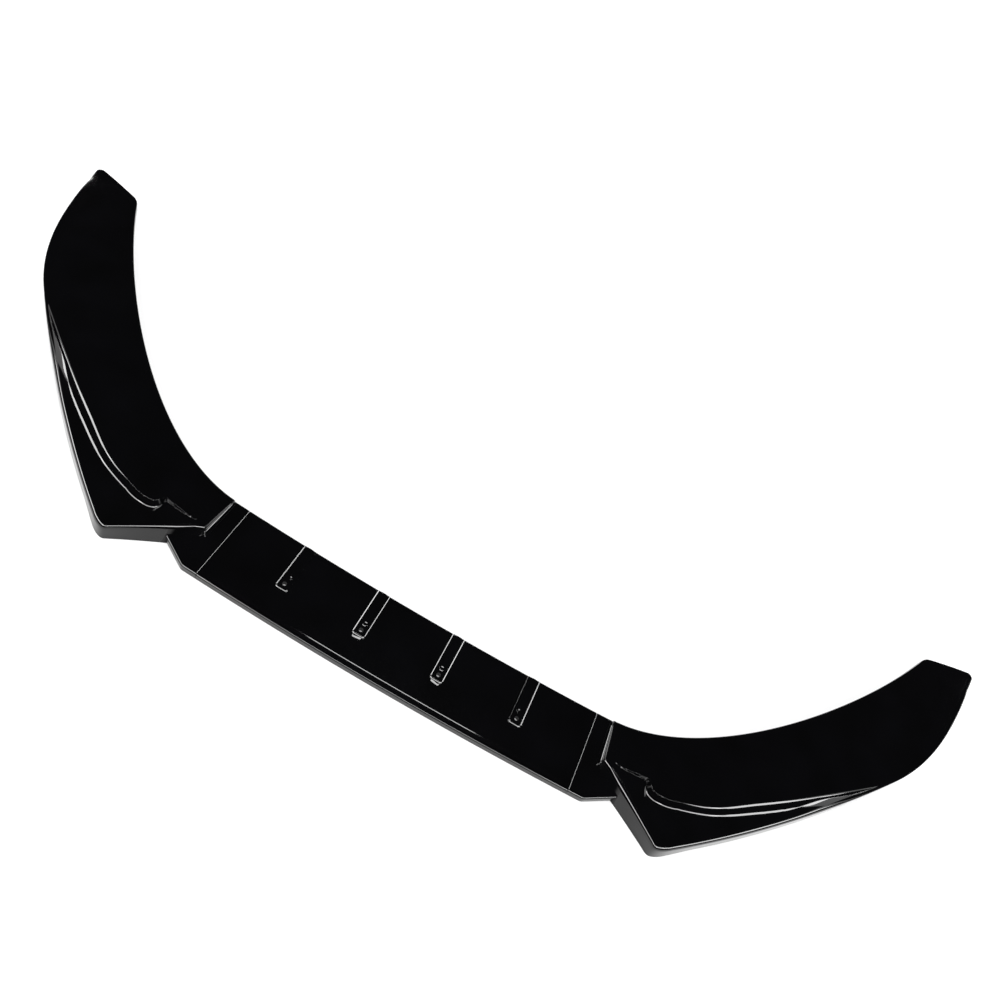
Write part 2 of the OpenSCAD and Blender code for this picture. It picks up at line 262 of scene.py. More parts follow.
class Skin:
    """Collects faces in millimetres and turns them into one object."""

    def __init__(self):
        self.points = []
        self.faces = []
        self.slots = []

    def add_points(self, points):
        first = len(self.points)
        self.points.extend([tuple(map(float, p)) for p in points])
        return list(range(first, first + len(points)))

    def add_face(self, indices, slot=0):
        self.faces.append(list(indices))
        self.slots.append(slot)

    def add_grid(self, rows, slot=0, skip=()):
        """Quads between neighbouring rows of points. The cells in skip, by row and column, stay open."""
        index = [self.add_points(row) for row in rows]
        for i, (a, b) in enumerate(zip(index, index[1:])):
            for j in range(len(a) - 1):
                if (i, j) not in skip:
                    self.add_face([a[j], b[j], b[j + 1], a[j + 1]], slot)
        return index

    def add_strip(self, a, b, slot=0, closed=False):
        """Quads between two lists of point numbers of the same length."""
        count = len(a)
        for j in range(count if closed else count - 1):
            k = (j + 1) % count
            self.add_face([a[j], b[j], b[k], a[k]], slot)

    def add_plate(self, outline, holes, low, high, slot=0):
        """A flat plate between two heights, with round holes given as x, y and radius."""
        turn = np.linspace(0, 2 * math.pi, 32, endpoint=False)
        loops = [list(outline)]
        loops += [[(x + r * math.cos(a), y + r * math.sin(a)) for a in turn] for x, y, r in holes]
        flat = [Vector(p) for loop in loops for p in loop]
        edges, start = [], 0
        for loop in loops:
            edges += [(start + i, start + (i + 1) % len(loop)) for i in range(len(loop))]
            start += len(loop)
        found, _, faces, _, _, _ = delaunay_2d_cdt(flat, edges, [], 4, 1e-5)
        for z in (low, high):
            index = self.add_points([(p.x, p.y, z) for p in found])
            for f in faces:
                self.add_face([index[i] for i in f], slot)
        for loop in loops:
            ends = [self.add_points([(x, y, z) for x, y in loop]) for z in (low, high)]
            self.add_strip(ends[0], ends[1], slot, closed=True)

    def add_tube(self, x, y, inner, outer, low, high, slot=0, steps=40):
        """An upright tube."""
        turn = np.linspace(0, 2 * math.pi, steps, endpoint=False)
        rings = []
        for r, z in ((inner, low), (outer, low), (outer, high), (inner, high)):
            rings.append(self.add_points([(x + r * math.cos(a), y + r * math.sin(a), z) for a in turn]))
        for a, b in ((0, 1), (1, 2), (2, 3), (3, 0)):
            self.add_strip(rings[a], rings[b], slot, closed=True)

    def add_block(self, low, high, slot=0):
        """A box between two corners."""
        (x0, y0, z0), (x1, y1, z1) = low, high
        plan = ((x0, y0), (x1, y0), (x1, y1), (x0, y1))
        p = self.add_points([(x, y, z) for z in (z0, z1) for x, y in plan])
        for f in ((0, 1, 2, 3), (4, 5, 6, 7), (0, 1, 5, 4), (1, 2, 6, 5), (2, 3, 7, 6), (3, 0, 4, 7)):
            self.add_face([p[i] for i in f], slot)

    def build(self, name, materials, shift, mirrored=False, sharp=math.radians(33)):
        """One object of the collected faces, moved by shift in y and mirrored in x where asked."""
        mesh = bpy.data.meshes.new(name)
        side = -1.0 if mirrored else 1.0
        placed = [(side * x * MM, (y + shift) * MM, z * MM) for x, y, z in self.points]
        mesh.from_pydata(placed, [], self.faces)
        for material in materials:
            mesh.materials.append(material)
        mesh.polygons.foreach_set("material_index", self.slots)
        work = bmesh.new()
        work.from_mesh(mesh)
        bmesh.ops.remove_doubles(work, verts=work.verts, dist=2e-6)
        bmesh.ops.dissolve_degenerate(work, edges=work.edges, dist=1e-7)
        bmesh.ops.recalc_face_normals(work, faces=work.faces)
        work.to_mesh(mesh)
        work.free()
        mesh.polygons.foreach_set("use_smooth", [True] * len(mesh.polygons))
        mesh.set_sharp_from_angle(angle=sharp)
        mesh.update()
        made = bpy.data.objects.new(name, mesh)
        bpy.context.scene.collection.objects.link(made)
        return made


# Plan of the mouldings, in mm. The winglet fronts lie at y = 0 and the back of the tips at overall_depth.


def read_sizes(scene):
    """All sizes as plain millimetre values, with those that follow from them."""
    blade, pads, side = scene.lip_blade, scene.lip_pads, scene.lip_side
    z = SimpleNamespace()
    for group in (blade, side):
        for key in group.__annotations__:
            setattr(z, key, getattr(group, key) / MM)
    for key in pads.__annotations__:
        setattr(z, "pad_" + key, getattr(pads, key) / MM)
    z.seam_x = z.centre_width / 2
    z.step_x = z.seam_x + z.lap_width
    z.tip_x = z.overall_width / 2
    z.floor = z.height - z.skin
    z.turn = math.asin(z.seam_x / z.bow_radius)
    z.chamfer_turn = math.radians(31)
    z.corner_round, z.tip_round, z.inner_round, z.rear_round = 14.0, 8.0, 3.2, 0.6
    z.root_drop, z.corner_rise, z.flange_depth = 5.0, 7.2, 14.0
    z.foot_length, z.screw_spread = 77.0, 31.0
    z.corner_share, z.inner_lag, z.inner_limit, z.arm_start = 0.19, 0.97, 0.985, 0.034
    plan_inner(z)
    plan_outer(z)
    plan_riser(z)
    return z


def plan_inner(z):
    """The inner edge of a side piece, from the step to the tip."""
    z.inner_start = np.array([z.step_x + 1.5, rear_y(z, z.step_x)])
    z.inner_end = np.array([z.tip_x - z.tip_width, z.overall_depth - 37])
    z.inner_span = z.inner_end - z.inner_start
    pulls = ((0, 0), (0.345, 0.006), (0.806, 0.607), (1, 1))
    z.inner_curve = [z.inner_start + z.inner_span * pull for pull in pulls]


def plan_outer(z):
    """The winglet's front line, the flank and the sweep to the tip."""
    z.corner = np.array([z.corner_x, 0.0])
    span = np.array([z.tip_x - z.corner_x, z.overall_depth])
    z.flank_curve = [z.corner + span * f for f in ((0, 0), (0.219, 0.118), (0.491, 0.303), (0.736, 0.513))]
    z.sweep_curve = [z.corner + span * f for f in ((0.736, 0.513), (0.868, 0.627), (0.939, 0.773), (1, 1))]
    z.sweep_curve[3] = z.sweep_curve[3] - (0, z.tip_round)
    rear = rear_y(z, z.step_x)
    z.step_top = np.array([z.step_x + 6, rear - 65])
    z.edge_start = np.array([z.step_x + 17, rear - 71])
    z.corner_trim = 9.5
    z.trim_share = 1 - (1 - STEP_SHARE) * z.corner_trim / np.linalg.norm(z.corner - z.edge_start)


def plan_riser(z):
    """The riser's foot: a ridge beside the step, a hook round its end, then a line to the outer edge."""
    x, y = z.step_x, rear_y(z, z.step_x) - 64
    ridge = [(-12, -0.8), (30, -0.6), (55, 0), (66, 0.6), (70.5, 0.6)]
    hook = [(72.6, -9), (75.5, -16.5), (83, -20.3), (98, -21.2), (127, -14.6)]
    flank = [(162.5, -3.4), (238, 39.8), (272, 63), (345, 120), (387, 155), (418, 181), (470, 225)]
    mean = [(90, 0.4), (120, 2.2), (150, 6.3), (180, 13.5), (210, 24.8)]
    z.riser_foot = smooth_line([(x + u, y + v) for u, v in ridge + hook + flank])
    z.riser_mean = smooth_line([(x + u, y + v) for u, v in ridge[:3] + mean + flank[1:]])
    steps = np.linalg.norm(np.diff(z.riser_foot, axis=0), axis=1)
    z.riser_run = np.concatenate([[0], np.cumsum(steps)])
    z.riser_knots = smooth_table(RISER_SHAPE)


def front_y(z, x):
    """Front edge of the blade, which bows."""
    return z.setback + z.bow_radius - np.sqrt(z.bow_radius**2 - np.square(x))


def rear_y(z, x):
    return front_y(z, x) + z.depth


def edge_at(z, p):
    """A place on the winglet's front line."""
    if p < STEP_SHARE:
        return mix(z.step_top, z.edge_start, p / STEP_SHARE)
    return mix(z.edge_start, z.corner, (p - STEP_SHARE) / (1 - STEP_SHARE))


def outer_at(z, q):
    """A place on the flank and the sweep."""
    if q < FLANK_SHARE:
        return bezier(z.flank_curve, q / FLANK_SHARE)
    return bezier(z.sweep_curve, (q - FLANK_SHARE) / (1 - FLANK_SHARE))


def curve_through(places, values, slopes, steps):
    """Values on a smooth curve with given values and slopes at some places."""
    out = []
    for i in range(len(places) - 1):
        span = places[i + 1] - places[i]
        for t in np.linspace(0, 1, steps, endpoint=False):
            start = (1 + 2 * t) * (1 - t) ** 2 * values[i] + t * (1 - t) ** 2 * span * slopes[i]
            end = t * t * (3 - 2 * t) * values[i + 1] - t * t * (1 - t) * span * slopes[i + 1]
            out.append(start + end)
    return np.array([*out, values[-1]])


def smooth_line(points, steps=12):
    """A smooth line through a few plan points, whatever the distances between them."""
    p = np.array(points, dtype=float)
    gap = np.linalg.norm(np.diff(p, axis=0), axis=1)[:, None]
    slope = np.diff(p, axis=0) / gap
    inner = (gap[1:] * slope[:-1] + gap[:-1] * slope[1:]) / (gap[1:] + gap[:-1])
    return curve_through(np.concatenate([[0], np.cumsum(gap)]), p, [slope[0], *inner, slope[-1]], steps)


def smooth_table(rows, steps=8):
    """A table with more rows, on smooth curves that never pass the given values."""
    table = np.array(rows, dtype=float)
    slope = np.diff(table, axis=0) / np.diff(table[:, 0])[:, None]
    same = slope[:-1] * slope[1:] > 0
    inner = np.where(same, 2 * slope[:-1] * slope[1:] / np.where(same, slope[:-1] + slope[1:], 1), 0)
    return curve_through(table[:, 0], table, [slope[0], *inner, slope[-1]], steps)


def crossing(inner, outer, line):
    """Distance from the inner point at which a section crosses a plan line, or None."""
    length = np.linalg.norm(outer - inner)
    d = (outer - inner) / length
    r = line - inner
    side, along = d[0] * r[:, 1] - d[1] * r[:, 0], r @ d
    within = (along[:-1] > 0) & (along[:-1] < length + 20)
    hits = np.nonzero((side[:-1] * side[1:] <= 0) & within)[0]
    if not len(hits):
        return None
    i = hits[0]
    return mix(along[i], along[i + 1], side[i] / (side[i] - side[i + 1] + 1e-12))


def share_at(z, q):
    """The place along the inner edge that faces a place along the arm."""
    return mix(z.corner_share, 1, mix(q, q**0.9, 0.5))


def stations(z):
    """Sections of a side piece: inner point, outer point, place along the edge, place along the arm."""
    return [*edge_stations(z), *corner_stations(z), *arm_stations(z), *tip_stations(z)]


def edge_stations(z):
    """Sections along the winglet's front line, close together at the riser's hook."""
    runs = (
        (0, STEP_SHARE, 5), (0.11, 0.50, 9), (0.52, 0.60, 9), (0.605, 0.74, 34),
        (0.75, z.trim_share - 0.01, 9),
    )
    for p in np.concatenate([np.linspace(*run) for run in runs]):
        yield bezier(z.inner_curve, p * z.corner_share * z.inner_lag), edge_at(z, p), p, 0.0


def corner_stations(z):
    """Sections round the winglet's front corner."""
    along = np.linalg.norm(z.corner - z.edge_start)
    a = mix(z.edge_start, z.corner, 1 - z.corner_trim / along)
    b = outer_at(z, z.arm_start)
    for k in np.linspace(0, 1, 12):
        corner = mix(mix(a, z.corner, k), mix(z.corner, b, k), k)
        share = mix(z.inner_lag * z.trim_share * z.corner_share, share_at(z, z.arm_start), k)
        yield bezier(z.inner_curve, share), corner, mix(z.trim_share, 1, k), z.arm_start * k


def arm_stations(z, steps=110):
    """Sections along the arm, closer together at its start."""
    for i in range(1, steps + 1):
        q = mix(z.arm_start, 1, (i / steps) ** 1.12)
        yield bezier(z.inner_curve, min(z.inner_limit, share_at(z, q))), outer_at(z, q), 1.0, q


def tip_stations(z):
    """Sections round the outer corner of the tip."""
    tip_corner = np.array([z.tip_x - z.tip_round, z.overall_depth])
    tip_line = (tip_corner - z.inner_end) / np.linalg.norm(tip_corner - z.inner_end)
    inner_a, inner_b = bezier(z.inner_curve, z.inner_limit), z.inner_end + 7 * tip_line
    for k in np.linspace(0, 1, 10)[1:]:
        turn = k * math.pi / 2
        outer = tip_corner + z.tip_round * np.array([math.cos(turn), math.sin(turn) - 1])
        inner = mix(mix(inner_a, z.inner_end, k), mix(z.inner_end, inner_b, k), k)
        yield inner, outer, 1.0, 1 + 0.3 * k


# Sections of the side pieces


def section_shape(z, station):
    """Heights and widths of one section."""
    inner, outer, p, q = station
    t = outer[1] / z.overall_depth
    length = np.linalg.norm(outer - inner)
    along = (inner[0] - z.inner_start[0]) / z.inner_span[0]
    root = z.root_height - z.root_drop
    mean = crossing(inner, outer, z.riser_mean)
    flange = mix(root, z.flange_depth, ease(along / 0.35)) - 4 * max(0, q - 1)
    shape = SimpleNamespace(
        start=inner, ahead=(outer - inner) / length, length=length,
        inner_top=mix(root, z.tip_height, clamp01(along) ** 1.08), flange=flange,
        mean=length if mean is None else min(mean, length), merge=ease((t - 0.4) / 0.08),
    )
    if p < 1:
        shape.outer_top = mix(z.root_height, z.corner_height, p)
        shape.rise = mix(0.2, z.corner_rise, ease((p - 0.15) / 0.55))
        shape.lean = 3 + 23 * (1 - p) ** 1.2
        shape.foot = 0.0
        shape.round = mix(1.5, 6.5, ease(p / 0.35))
    else:
        growth = 1 - clamp01(1 - t) ** 1.5 - 0.029 * (1 - math.exp(-t / 0.03)) * (1 - t)
        shape.outer_top = mix(z.corner_height, z.tip_height - z.tip_drop, growth)
        shape.rise = mix(mix(z.corner_rise, z.riser_height, ease(t / 0.22)), 0, ease((t - 0.12) / 0.45))
        shape.lean = 3 * (1 - ease(t / 0.08)) + 0.5 * (1 - t)
        shape.foot = z.tip_clearance * ease((t - 0.56) / 0.44)
        shape.round = mix(6.5, 1.2, ease((t - 0.3) / 0.15))
    return shape


def riser_ramp(z, points):
    """For plan points, 0 on the winglet's top, 1 on the raised surface and between on the riser."""
    a, ab = z.riser_foot[:-1], np.diff(z.riser_foot, axis=0)
    p = points[:, None, :] - a
    t = np.clip((p * ab).sum(2) / (ab * ab).sum(1), 0, 1)
    gap = np.linalg.norm(p - ab * t[..., None], axis=2)
    i = gap.argmin(1)
    n = np.arange(len(points))
    d = np.copysign(gap[n, i], ab[i, 0] * p[n, i, 1] - ab[i, 1] * p[n, i, 0])
    run = z.riser_run[i] + t[n, i] * np.linalg.norm(ab[i], axis=1)
    knots = z.riser_knots
    width, low, high = (np.interp(run, knots[:, 0], knots[:, k]) for k in (1, 2, 3))

    def soft(v, e):
        return np.where(v > e, v, np.where(v < -e, 0, (v + e) ** 2 / (4 * e)))

    return (soft(d, low) - soft(d - width, high)) / width


def surface(z, h, u):
    """Heights of a side piece's top at some distances from its inner edge."""
    fall, crown = 0.02, 0.048
    low = h.outer_top + fall * (h.length - u)
    if h.rise is None:
        return low
    k = u / h.mean
    crest = h.outer_top + fall * (h.length - h.mean) + h.rise
    raised = mix(h.inner_top, crest, k) + crown * h.mean * k * (1 - k)
    return low + (raised - low) * np.maximum(h.merge, riser_ramp(z, h.start + h.ahead * u[:, None]))


def top_places(z, h):
    """Distances from the inner edge at which a section is drawn, closest at the riser's foot and crest."""
    reach, before, after = 3.5, 38, 26
    away = reach * np.array([0.03, 0.07, 0.11, 0.15, 0.2, 0.27, 0.36, 0.5, 0.7, 1.0])
    end = h.length - 2.3 * h.round
    a, b = max(9.0, min(h.mean, end) - before), min(h.mean + after, end - 2)
    foot = crossing(h.start, h.start + h.ahead * h.length, z.riser_foot)
    foot = 0.5 * (a + b) if foot is None else min(max(foot, a + 8), b - 4.5)
    back = foot - np.linspace(0, foot - a - 4.5, 300)
    up = np.nonzero(riser_ramp(z, h.start + h.ahead * back[:, None]) > 0.97)[0]
    crest = min(back[up[0]] if len(up) else back[-1], foot - 0.7)
    return np.concatenate([
        np.linspace(6, a, 4)[:-1],
        np.linspace(a, crest - reach, 14)[:-1],
        (crest - away)[::-1],
        np.linspace(crest, foot, 34),
        foot + away,
        np.linspace(foot + reach, b, 14)[1:],
        np.linspace(b, end, 4)[1:],
    ])


def bend(a, b, c, r, steps):
    """Points on a smooth bend at b, which takes less than half of the way to a and to c."""
    most = 0.45
    u, v = (a - b) / np.linalg.norm(a - b), (c - b) / np.linalg.norm(c - b)
    ra, rc = (min(r, most * np.linalg.norm(end - b)) for end in (a, c))
    return [mix(mix(b + u * ra, b, k), mix(b, b + v * rc, k), k) for k in np.linspace(0, 1, steps + 1)]


def section(z, h, inset, places=None):
    """One section as distances from the inner edge and heights, moved in by inset for the inner skin."""
    u = top_places(z, h) if places is None else places
    top = list(np.column_stack([u, surface(z, h, u)]))
    start = np.array([0.0, h.inner_top])
    end = np.array([h.length, surface(z, h, np.array([h.length]))[0]])
    base = np.array([0.0, h.inner_top - h.flange])
    foot = np.array([h.length + h.lean, h.foot])
    rows = bend(base, start, top[0], z.inner_round, 6) + top
    rows += bend(top[-1], end, foot, h.round, 10) + [mix(end, foot, 0.6)]
    rows = [np.array([inset + r[0] * (1 - 2 * inset / h.length), r[1] - inset]) for r in rows]
    return [base + (inset, 0)] + rows + [foot - (inset, 0)]


def place(inner, outer, points):
    """Section points in space."""
    d = (outer - inner) / np.linalg.norm(outer - inner)
    return np.array([(inner[0] + d[0] * p[0], inner[1] + d[1] * p[0], p[1]) for p in points])


def step_rows(z, first, second, foot):
    """Rows that rise from the lap to the first section: a hollow foot, then a small rounded crest."""
    out = foot - (2.4, 0, 0)
    below = np.column_stack([first[:, :2], np.minimum(first[:, 2], foot[:, 2])])
    lead = [mix(mix(out, below, k), mix(below, first, k), k) for k in np.linspace(0, 0.97, 14)]
    crest_a, crest_b = lead[-1], mix(first, second, 0.12)
    top = [mix(mix(crest_a, first, k), mix(first, crest_b, k), k) for k in np.linspace(0, 1, 4)]
    return lead + top[1:] + [mix(first, second, 0.25)]


def side_shell(z, skin):
    """The swept shell of a side piece, with its step down to the lap. Returns its sections for the ribs."""
    sections = stations(z)
    shapes = [section_shape(z, s) for s in sections]
    foot_in = np.array([z.step_x, rear_y(z, z.step_x) - 0.4])
    foot_out = np.array([z.step_x + 0.5, rear_y(z, z.step_x) - z.foot_length])
    low = z.height - 0.1
    lap_end = SimpleNamespace(
        start=foot_in, ahead=(foot_out - foot_in) / z.foot_length, length=z.foot_length,
        inner_top=low, outer_top=low, flange=low, mean=60.0, rise=None, lean=1.0, foot=0.0, round=1.0,
    )
    places = top_places(z, shapes[0]) * z.foot_length / shapes[0].length
    grids = []
    for slot, inset in ((0, 0.0), (1, z.skin)):
        rows = [place(s[0], s[1], section(z, h, inset)) for s, h in zip(sections, shapes)]
        foot = place(foot_in, foot_out, section(z, lap_end, inset, places))
        rows[:1] = step_rows(z, rows[0], rows[1], foot)
        grids.append(skin.add_grid(rows, slot))
    outer, inner = grids
    skin.add_strip(outer[0], inner[0], 1)
    skin.add_strip(outer[-1], inner[-1], 0)
    for end in (0, -1):
        skin.add_strip([r[end] for r in outer], [r[end] for r in inner], 1)
    return sections


def section_rib(z, skin, station, thick=2.0):
    """Upright rib below the skin at one station, from the inner flange to the outer wall."""
    inner, outer = station[:2]
    d = (outer - inner) / np.linalg.norm(outer - inner)
    half = section(z, section_shape(z, station), z.skin / 2)
    half[0], half[-1] = half[0] + (0, 3.0), half[-1] + (0, 3.0)
    middle = place(inner, outer, half)
    across = np.array([-d[1], d[0], 0.0]) * thick / 2
    sides = [skin.add_points(middle + sign * across) for sign in (-1, 1)]
    for side in sides:
        skin.add_face(side, 1)
    skin.add_strip(sides[0], sides[1], 1, closed=True)


# The flat lap at the end of a side piece


def lap_path(z):
    """Front edge of the lap in plan, as points with the direction inwards from each."""
    start = np.array([z.seam_x + z.seam_gap, front_y(z, z.seam_x)])
    vertex = start + (z.step_x - 1 - z.seam_x) * np.array([1, math.tan(z.turn)])
    heading, beyond = z.turn, z.chamfer_turn
    back = z.corner_round * math.tan((beyond - heading) / 2)
    t1 = vertex - back * np.array([math.cos(heading), math.sin(heading)])
    centre = t1 + z.corner_round * np.array([-math.sin(heading), math.cos(heading)])
    end = vertex + 50 * np.array([math.cos(beyond), math.sin(beyond)])
    upright = np.array([0, 1 / math.cos(heading)])
    path = [(start, upright), (start + z.seam_chamfer * np.array([1, math.tan(heading)]), upright)]
    for h in np.linspace(heading, beyond, 9):
        inwards = np.array([-math.sin(h), math.cos(h)])
        path.append((centre - z.corner_round * inwards, inwards))
    path.append((end, inwards))
    return path


def lap(z, skin):
    """Flat end of a side piece, from the seam to under the winglet."""
    r, top, c = z.edge_round, z.height, z.seam_chamfer
    path = lap_path(z)

    def swept(profile):
        return [[(p[0] + d[0] * u, p[1] + d[1] * u, v) for u, v in profile] for p, d in path]

    rows = swept([(0.0, 0.0)] + [(r * (1 - math.cos(a)), top - r * (1 - math.sin(a))) for a in quarter(9)])
    rows[0] = [(x, y, v - c * (v > top - r)) for x, y, v in rows[0]]
    skin.add_grid(rows, 0)
    skin.add_grid(swept([(z.skin, 0.0), (z.skin, z.floor)]), 1)
    skin.add_grid(swept([(0.0, 0.0), (z.skin, 0.0)]), 1)
    edge = [row[-1][:2] for row in rows[1:]]
    lap_plate(z, skin, edge)
    x0, front, back_y = z.seam_x + z.seam_gap, edge[0][1], rear_y(z, z.seam_x) - z.rear_round
    seam = [(x0, front, top - c), (x0, back_y, top - c)]
    skin.add_grid([seam, [(x0 + c, front, top), (x0 + c, back_y, top)]], 0)
    skin.add_grid([seam, [(x0, front, z.floor), (x0, back_y, z.floor)]], 0)


def lap_plate(z, skin, edge):
    """Top and underside of the lap, and its rear edge with a small rounding and the wall below it."""
    x, top, inset = z.step_x, z.height, z.rear_round
    rear = [(x + 5, rear_y(z, x + 5)), (edge[0][0], rear_y(z, edge[0][0]))]
    plate = [*edge, (edge[-1][0] - 4, edge[-1][1] + 8)]
    plate += [(x + 14, rear_y(z, x) - 70), (x + 8, rear_y(z, x) - 8)]
    plate += [(u, v - inset) for u, v in rear]
    skin.add_face(skin.add_points([(u, v, top) for u, v in plate]), 0)
    skin.add_face(skin.add_points([(u, v, z.floor) for u, v in plate]), 1)
    back = [(inset * (math.sin(a) - 1), top - inset * (1 - math.cos(a))) for a in quarter(5)] + [(0.0, 0.0)]
    wall = [(-z.skin, 0.0), (-z.skin, z.floor)]
    rim = [(0.0, 0.0), (-z.skin, 0.0)]
    for profile, slot in ((back, 0), (wall, 1), (rim, 1)):
        skin.add_grid([[(u, v + away, height) for away, height in profile] for u, v in rear], slot)


def joint_places(z):
    """Places of the two joint screws at a seam."""
    y = front_y(z, z.seam_x) + z.depth / 2
    return [(z.seam_x + z.lap_width / 2, y + side * z.screw_spread) for side in (-1, 1)]


# The centre blade


def front_fall(v):
    """Slight fall of the top surface towards the front edge, from a soft break behind it."""
    slope, reach, soft = 0.11, 9.6, 2.0
    t = max(0.0, reach + soft / 2 - v)
    return slope * (t - soft / 2 if t > soft else t * t / (2 * soft))


def tab_depth(dx, dy, half, length, round_r):
    """How far a point lies inside a tab that reaches forwards from the rear edge, with rounded corners."""
    u, v = abs(dx) - (half - round_r), round_r - length - dy
    return round_r - math.hypot(max(u, 0), max(v, 0)) - min(max(u, v), 0)


def pad_height(z, x, y):
    """Height of the blade's top, with its screw pads and their tongues."""
    pad_round, tongue_round = 5.0, 4.5
    total = z.height - front_fall(y - front_y(z, x))
    for k in PAD_PLACES:
        dx, dy = x - k * z.pad_pitch, y - rear_y(z, k * z.pad_pitch)
        pad = tab_depth(dx, dy, z.pad_width / 2, z.pad_length, pad_round)
        total += z.pad_rise * ease(pad / z.pad_soft_edge)
        tongue = tab_depth(dx, dy, z.pad_tongue_width / 2, z.pad_tongue_length, tongue_round)
        total += z.pad_tongue_rise * (1 - (1 - clamp01(tongue / (2 * z.pad_soft_edge))) ** 2)
    return total


def spread(*runs):
    """Sorted places from runs of start, end and step, without near repeats."""
    counts = [max(2, int(round(abs(b - a) / step)) + 1) for a, b, step in runs]
    places = sorted(p for (a, b, _), count in zip(runs, counts) for p in np.linspace(a, b, count))
    kept = [places[0]]
    for p in places[1:]:
        if p - kept[-1] > 0.12:
            kept.append(p)
    return kept


def blade_columns(z, end):
    """Places across the blade at which it is drawn, close together at the pads."""
    c, band = z.seam_chamfer, 5.2
    runs = [(-end + c, end - c, 6.0), (-end + z.skin, end - z.skin, 500.0)]
    for x in [k * z.pad_pitch for k in PAD_PLACES]:
        for half in (z.pad_width / 2, z.pad_tongue_width / 2):
            runs += [(x + side * half, x + side * (half - band), 0.4) for side in (-1, 1)]
        runs.append((x - z.pad_width / 2, x + z.pad_width / 2, 0.8))
    return [-end] + spread(*runs) + [end]


def pad_holes(z):
    """Places of the screw holes in the pads."""
    xs = [k * z.pad_pitch for k in PAD_PLACES]
    return [(x, float(rear_y(z, x)) - z.pad_length + z.pad_hole_inset) for x in xs]


def holed_grid(z, skin, rows, first, last, slot, depths):
    """A grid of faces with a round hole through each pad, whose wall goes down to some depths."""
    skip, loops = set(), []
    for hx, hy in pad_holes(z):
        cols = [i for i, row in enumerate(rows) if abs(row[0][0] - hx) < HOLE_REACH]
        line = [j for j in range(first, last) if abs(rows[cols[0]][j][1] - hy) < HOLE_REACH]
        skip.update((i, j) for i in range(cols[0], cols[-1]) for j in range(line[0], line[-1]))
        loop = [(i, line[0]) for i in cols[:-1]] + [(cols[-1], j) for j in line[:-1]]
        loop += [(i, line[-1]) for i in cols[:0:-1]] + [(cols[0], j) for j in line[:0:-1]]
        loops.append((hx, hy, loop))
    index = skin.add_grid(rows, slot, skip)
    r = z.pad_hole / 2
    for hx, hy, loop in loops:
        ring = [index[i][j] for i, j in loop]
        z_face = skin.points[ring[0]][2]
        turn = [math.atan2(skin.points[n][1] - hy, skin.points[n][0] - hx) for n in ring]
        for depth in depths:
            wall = [(hx + r * math.cos(a), hy + r * math.sin(a), z_face - depth) for a in turn]
            lower = skin.add_points(wall)
            skin.add_strip(ring, lower, slot, closed=True)
            ring = lower


def centre_blade(z, skin):
    """The centre blade: bowed, with turned-down edges, screw pads, holes, ribs and joining tabs."""
    end, c, r, top = z.seam_x - z.seam_gap, z.seam_chamfer, z.edge_round, z.height
    xs = blade_columns(z, end)
    pad_v, tongue_v = z.depth - z.pad_length, z.depth - z.pad_tongue_length
    rear_r = 0.8
    vs = spread(
        (r, z.depth - rear_r, 8.0), (pad_v, pad_v + 5.2, 0.4), (pad_v + 6, pad_v + 16, 0.8),
        (tongue_v, tongue_v + 2.4, 0.4), (r, 14.0, 0.8),
    )
    edge_top = top - front_fall(r)
    nose = [(r * (1 - math.cos(a)), edge_top - r * (1 - math.sin(a))) for a in quarter(9)][:-1]
    tail = [(z.depth + rear_r * (math.sin(a) - 1), top + rear_r * (math.cos(a) - 1)) for a in quarter(5)][1:]
    outer_rows, inner_rows = [], []
    for n, x in enumerate(xs):
        drop = c if n in (0, len(xs) - 1) else 0.0
        y0 = front_y(z, x)
        row = [(x, y0, 0.0)]
        row += [(x, y0 + v, h - drop * (h > top - r)) for v, h in nose]
        row += [(x, y0 + v, pad_height(z, x, y0 + v) - drop) for v in vs]
        row += [(x, y0 + v, h - drop) for v, h in tail]
        outer_rows.append([*row, (x, y0 + z.depth, 0.0)])
        if abs(x) <= end - z.skin + 0.01:
            under = [v for v in vs if z.skin - 0.01 <= v <= z.depth - z.skin]
            flat = [z.skin, *under[1:], z.depth - z.skin]
            row = [(x, y0 + v, z.floor) for v in flat]
            inner_rows.append([(x, y0 + z.skin, 0.0), *row, (x, y0 + z.depth - z.skin, 0.0)])
    lead = 1 + len(nose)
    holed_grid(z, skin, outer_rows, lead, lead + len(vs), 0, (0.0, 1.5))
    holed_grid(z, skin, inner_rows, 2, len(inner_rows[0]) - 2, 1, (0.0,))
    for rows, slot in ((outer_rows, 0), (inner_rows, 1)):
        for row in (rows[0], rows[-1]):
            skin.add_face(skin.add_points(row), slot)
    blade_rim(z, skin, xs, end)
    blade_ribs(z, skin, end)
    joining_tabs(z, skin)


def blade_rim(z, skin, xs, end):
    """The lower rim of the blade's walls."""
    for v0, v1 in ((0.0, z.skin), (z.depth - z.skin, z.depth)):
        skin.add_grid([[(x, front_y(z, x) + v, 0.0) for v in (v0, v1)] for x in xs], 1)
    for side in (-1, 1):
        rows = []
        for x in (end - z.skin, end):
            rows.append([(side * x, front_y(z, x) + v, 0.0) for v in (z.skin, z.depth - z.skin)])
        skin.add_grid(rows, 1)


